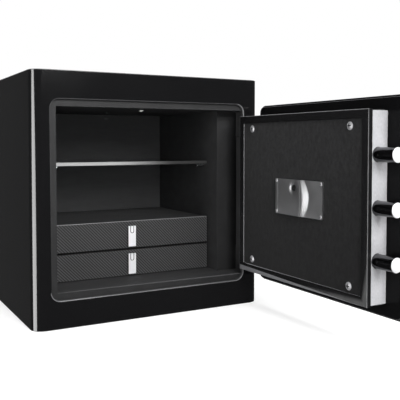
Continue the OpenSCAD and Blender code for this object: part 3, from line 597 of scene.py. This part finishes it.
# what to change on the body and what stands in it
bodyLooks = {
    "outer_shell": {"finish": "blackPaint", "rounded": [
        ("y", shellFront, lambda p, inset: inset > rim and p.z > opening["foot"] and p.x < opening["right"],
         1.0 * mm, "edgePaint"),
        ("y", shellFront, inner, 1.6 * mm, "rimPaint"),
        ("z", high("outer_shell", "z"), outer, 1.2 * mm, "edgePaint"),
        ("z", low("outer_shell", "z"), outer, 0.8 * mm, "blackPaint"),
        ("y", high("outer_shell", "y"), outer, 0.8 * mm, "blackPaint")]},
    "back_panel": {"finish": "blackPaint", "ease": 0.6 * mm},
    "front_frame": {"finish": "frameCoat", "faces": [("ledgeCoat", facesFront)], "rounded": [
        ("y", ledge, lambda p, inset: inset > ledgeRim and p.x < opening["left"],
         2.6 * mm, "brightEdge"),
        ("y", ledge, lambda p, inset: inset > ledgeRim and p.z > opening["ledgeTop"],
         3.0 * mm, "edgePaint"),
        ("y", ledge, lambda p, inset: inset > ledgeRim and p.z < opening["ledgeFoot"],
         3.0 * mm, "edgePaint"),
        ("y", ledge, lambda p, inset: inset > ledgeRim, 3.0 * mm, "rimPaint")]},
    "cavity_liner": {"finish": "linerCoat"},
    "insulation_fill": {"finish": "castFill"},
    "bolt_sockets": {"finish": "plainSteel", "ease": 0.3 * mm},
    "hinge_brackets": {"finish": "framePaint", "ease": 0.5 * mm},
    "hinge_pin": {"finish": "plainSteel"},
    "anchor_tubes": {"finish": "plainSteel", "ease": 0.4 * mm},
    "lamp_base": {"finish": "chrome", "ease": 0.2 * mm},
    "lamp_lens": {"finish": "lensPlastic"},
    "shelf_pegs": {"finish": "chrome", "ease": 0.4 * mm},
    "glass_shelf": {"finish": "shelfGlass", "ease": 0.5 * mm, "faces": [("shelfEdge", facesFront)]},
    "drawer_case": {"finish": "linerCoat", "ease": 0.4 * mm},
}


# what to change on a drawer: the front's top edge carries a painted highlight on the upper one and a
# painted shade for the gap on the lower one
def drawerLooks(drawer, topEdge):
    front = drawer + "_drawer_front"
    pull = drawer + "_drawer_pull"
    plateBack = low(pull, "y") + 0.3 * mm
    return {
        drawer + "_drawer_tray": {"finish": "linerCoat", "ease": 0.3 * mm},
        drawer + "_drawer_felt": {"finish": "drawerFelt", "ease": 0.3 * mm},
        front: {"finish": "carbonWeave", "rounded": [
            ("z", high(front, "z"), outer, 1.3 * mm, topEdge),
            ("z", low(front, "z"), outer, 1.1 * mm, "gapBlack")]},
        # the pull's side and the floor of its groove take the dark chrome as painted shade
        pull: {"finish": "satinChrome", "ease": 0.2 * mm, "faces": [
            ("darkChrome", lambda p, n: p.y > plateBack and (facesFront(p, n) or n.x < -facing["side"]))]},
    }


# the cover's face, how near to its foot or lock side an edge counts as there, its border's width, and
# the end of the bolts' tips
coverFace = low("door_cover", "x")
coverReach = 2 * mm
coverBorder = 14 * mm
coverFoot = low("door_cover", "z") + coverReach
coverLock = low("door_cover", "y") + coverReach
coverHinge = high("door_cover", "y") - coverBorder
boltTip = low("bolts", "y") + 2 * mm

# what to change on the door and what rides on it
doorLooks = {
    "door_skin": {"finish": "blackPaint", "ease": 0.8 * mm},
    "door_plate": {"finish": "panelPaint", "rounded": [
        ("x", low("door_plate", "x"), outer, 0.8 * mm, "edgePaint")]},
    "door_pan": {"finish": "framePaint"},
    "door_insulation": {"finish": "castFill"},
    "door_seals": {"finish": "sealRubber", "ease": 0.4 * mm},
    "door_cover": {"finish": "coverPaint", "rounded": [
        ("x", coverFace, lambda p, inset: inset < rim and p.z > coverFoot and p.y < coverLock,
         0.8 * mm, "edgePaint"),
        ("x", coverFace, lambda p, inset: inset < rim and p.z > coverFoot, 0.9 * mm, "softEdge"),
        ("x", coverFace, lambda p, inset: inset < rim and p.z <= coverFoot, 8.0 * mm, "footPaint"),
        ("x", coverFace, lambda p, inset: inset > rim and p.y > coverHinge, 1.0 * mm, "brightEdge"),
        ("x", coverFace, lambda p, inset: inset > rim and p.z < coverFoot + coverBorder,
         0.7 * mm, "brightEdge"),
        ("x", coverFace, inner, 0.4 * mm, "coverPaint")]},
    "cover_felt": {"finish": "doorFelt"},
    # the screws' slots carry painted shade
    "cover_screws": {"finish": "screwSteel", "faces": [("gapBlack", inSlot)]},
    "lock_edge_plate": {"finish": "stripChrome", "ease": 0.2 * mm},
    "bolt_bushes": {"finish": "brassBush", "ease": 0.3 * mm},
    "hinge_arm": {"finish": "armCoat", "ease": 0.8 * mm},
    "hinge_screws": {"finish": "plainSteel"},
    "service_plate": {"finish": "plateSteel", "ease": 0.3 * mm, "cuts": (96, 40), "press": pressPlate},
    "plate_screws": {"finish": "screwSteel", "faces": [("gapBlack", inSlot)]},
    "battery_box": {"finish": "housingPlastic", "ease": 0.3 * mm},
    "batteries": {"finish": "cellWrap", "ease": 0.3 * mm},
    "control_board": {"finish": "boardGreen", "ease": 0.2 * mm},
    "lock_solenoid": {"finish": "plainSteel", "ease": 0.5 * mm},
    "keypad_housing": {"finish": "housingPlastic", "ease": 0.8 * mm},
    "status_window": {"finish": "redPlastic", "ease": 0.2 * mm},
    "bolt_carriage": {"finish": "plainSteel", "ease": 0.3 * mm},
    # the bolts' sides take the dark chrome as a painted reflection of dark surroundings, their tips the
    # satin chrome
    "bolts": {"finish": "darkChrome", "faces": [
        ("satinChrome", lambda p, n: n.y < -facing["tip"] and p.y < boltTip)]},
    "knob": {"finish": "knobSteel", "ease": 1.0 * mm},
    "pinion_shaft": {"finish": "plainSteel"},
    "solenoid_plunger": {"finish": "plainSteel", "ease": 0.3 * mm},
    "reset_button": {"finish": "buttonPlastic", "ease": 0.5 * mm},
}
keyLooks = {node: {"finish": "knobSteel", "ease": 0.8 * mm} for node in keyNodes}

# what to change on the key marks: plain characters that stand a hair proud of the key caps
keyMarks = {
    "height": 9.0 * mm, "bolder": 0.22 * mm, "proud": 0.05 * mm, "finish": "markInk",
    "words": {"star": "*", "hash": "#"}, "starBolder": 0.0, "starDrop": 1.5 * mm,
}


def textMesh(name, word, bolder):
    curve = bpy.data.curves.new(name, "FONT")
    curve.body = word
    curve.size = keyMarks["height"]
    curve.align_x = "CENTER"
    curve.align_y = "CENTER"
    curve.offset = bolder
    curve.extrude = keyMarks["proud"]
    flat = bpy.data.objects.new(name + "_flat", curve)
    mesh = bpy.data.meshes.new_from_object(flat)
    mesh.name = name
    bpy.data.objects.remove(flat)
    work = bmesh.new()
    work.from_mesh(mesh)
    bmesh.ops.remove_doubles(work, verts=work.verts, dist=shaping["sameSpot"])
    work.to_mesh(mesh)
    work.free()
    return mesh


def keyMark(node):
    # along, up and out of the text become y, z and x, about the middle of the key cap's face
    key = node.removeprefix("key_")
    word = keyMarks["words"].get(key, key)
    bolder = keyMarks["starBolder" if key == "star" else "bolder"]
    drop = keyMarks["starDrop"] if key == "star" else 0.0
    mesh = textMesh(node + "_mark", word, bolder)
    along, up, out = pointsOf(mesh)
    movePoints(mesh, out + high(node, "x"), along + middle(node, "y"), up + middle(node, "z") - drop)
    mesh.materials.clear()
    mesh.materials.append(finishes[keyMarks["finish"]])
    piece = addPiece(node + "_mark", mesh)
    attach(piece, bodyOfNode[node])


for node in keyNodes:
    keyMark(node)
print("key marks made:", len(keyNodes))

upperLooks = drawerLooks("upper", "softEdge")
lowerLooks = drawerLooks("lower", "gapBlack")
for looks in (bodyLooks, upperLooks, lowerLooks, doorLooks, keyLooks):
    for node, settings in looks.items():
        lookOf(node, **settings)
    print("pieces made:", len(looks))


# Camera, lamps, world and floor

camera = {
    "place": (-0.4579, -1.15035, 0.28868), "turn": 29.10, "down": 2.333,
    "lens": 58.72, "sensor": 36.0, "shift": (-0.004, -0.077), "nearest": 0.01,
}
lamps = {
    "frontSoftbox": {"place": (0.1, -2.5, 1.3), "target": (0.0, -0.2, 0.2), "size": (1.4, 1.0),
                     "watts": 68.0, "shape": "RECTANGLE", "inGloss": True},
    "cavityFill": {"place": (-0.3, -2.4, 0.45), "target": (0.0, 0.0, 0.22), "size": (1.0, 0.8),
                   "watts": 16.0, "shape": "RECTANGLE", "inGloss": False},
    "leftSoftbox": {"place": (-2.0, -0.24, -0.15), "target": (-0.2, -0.1, 0.1), "size": (1.25, 1.9),
                    "watts": 70.0, "shape": "ELLIPSE", "inGloss": True},
    "rightFill": {"place": (2.2, -1.2, 0.9), "target": (0.19, -0.3, 0.2), "size": (1.2, 1.2),
                  "watts": 20.0, "shape": "RECTANGLE", "inGloss": False},
    "topSoftbox": {"place": (0.0, -0.1, 2.2), "target": (0.0, 0.0, 0.4), "size": (1.4, 1.4),
                   "watts": 24.0, "shape": "RECTANGLE", "inGloss": True},
}
studio = {"backdropWay": (0.49, 0.87, 0.0), "backdropEdge": (0.80, 1.0), "ambient": 0.42, "dark": 0.055}
floor = {"radius": 12.0, "corners": 96, "tone": 0.6, "lift": (0.5, 1.0), "liftFrom": (1.0, 3.0)}


def addCamera():
    data = bpy.data.cameras.new("camera")
    data.lens = camera["lens"]
    data.sensor_width = camera["sensor"]
    data.shift_x, data.shift_y = camera["shift"]
    data.clip_start = camera["nearest"]
    placed = bpy.data.objects.new("camera", data)
    placed.location = camera["place"]
    placed.rotation_euler = (math.radians(90 - camera["down"]), 0, math.radians(-camera["turn"]))
    bpy.context.scene.collection.objects.link(placed)
    bpy.context.scene.camera = placed


def addLamp(name, place, target, size, watts, shape, inGloss):
    data = bpy.data.lights.new(name, "AREA")
    data.shape = shape
    data.size, data.size_y = size
    data.energy = watts
    lamp = bpy.data.objects.new(name, data)
    lamp.location = place
    toward = np.array(target) - np.array(place)
    level = math.hypot(toward[0], toward[1])
    lamp.rotation_euler = (math.atan2(level, -toward[2]), 0, math.atan2(toward[1], toward[0]) - math.pi / 2)
    lamp.visible_glossy = inGloss
    bpy.context.scene.collection.objects.link(lamp)


def addWorld():
    # white to the camera and, for gloss and glass, in a cone behind the object; a dim studio elsewhere
    world = bpy.data.worlds.new("studio")
    bpy.context.scene.world = world
    world.use_nodes = True
    tree = world.node_tree
    path = addNode(tree, "ShaderNodeLightPath").outputs
    way = addNode(tree, "ShaderNodeTexCoord").outputs["Generated"]
    ahead = vectorMaths(tree, "DOT_PRODUCT", {0: way, 1: studio["backdropWay"]}, output="Value")
    backdrop = remap(tree, ahead, *studio["backdropEdge"], 0.0, 1.0, smooth=True)
    mirrored = maths(tree, "MAXIMUM", path["Is Glossy Ray"], path["Is Transmission Ray"])
    white = maths(tree, "MAXIMUM", path["Is Camera Ray"], maths(tree, "MULTIPLY", mirrored, backdrop))
    ambient = maths(tree, "MULTIPLY", path["Is Diffuse Ray"], studio["ambient"])
    strength = maths(tree, "MAXIMUM", maths(tree, "MAXIMUM", white, ambient), studio["dark"])
    background = tree.nodes["Background"]
    background.inputs["Color"].default_value = (1.0, 1.0, 1.0, 1.0)
    tree.links.new(strength, background.inputs["Strength"])


def floorMaterial():
    # pale, and lifted to white for the camera away from the object
    mat, tree, shader, place = startMaterial("paleFloor", {
        "Emission Color": (1.0, 1.0, 1.0), "Roughness": 0.9, "Specular IOR Level": 0.1})
    grain = noise(tree, place, scale=60.0, detail=4.0)
    seen = addNode(tree, "ShaderNodeLightPath").outputs["Is Camera Ray"]
    away = vectorMaths(tree, "LENGTH", {0: place}, output="Value")
    lift = remap(tree, away, *floor["liftFrom"], *floor["lift"], smooth=True)
    connect(tree, shader, {
        "Base Color": tones(tree, grain, (floor["tone"],) * 3, dark=0.99, light=1.01),
        "Emission Strength": maths(tree, "MULTIPLY", seen, lift)})
    return mat


def addFloor():
    # one round face, radius (cos a, sin a), left out of the gloss
    turns = np.arange(floor["corners"]) * (2 * math.pi / floor["corners"])
    ring = np.stack([np.cos(turns), np.sin(turns), np.zeros_like(turns)], axis=1) * floor["radius"]
    mesh = bpy.data.meshes.new("floor")
    mesh.from_pydata(ring.tolist(), [], [list(range(floor["corners"]))])
    mesh.materials.append(floorMaterial())
    ground = addPiece("floor", mesh)
    ground.visible_glossy = False


addCamera()
for name, settings in lamps.items():
    addLamp(name, **settings)
addWorld()
addFloor()
bpy.context.scene.view_settings.view_transform = "Standard"
print("stage set")
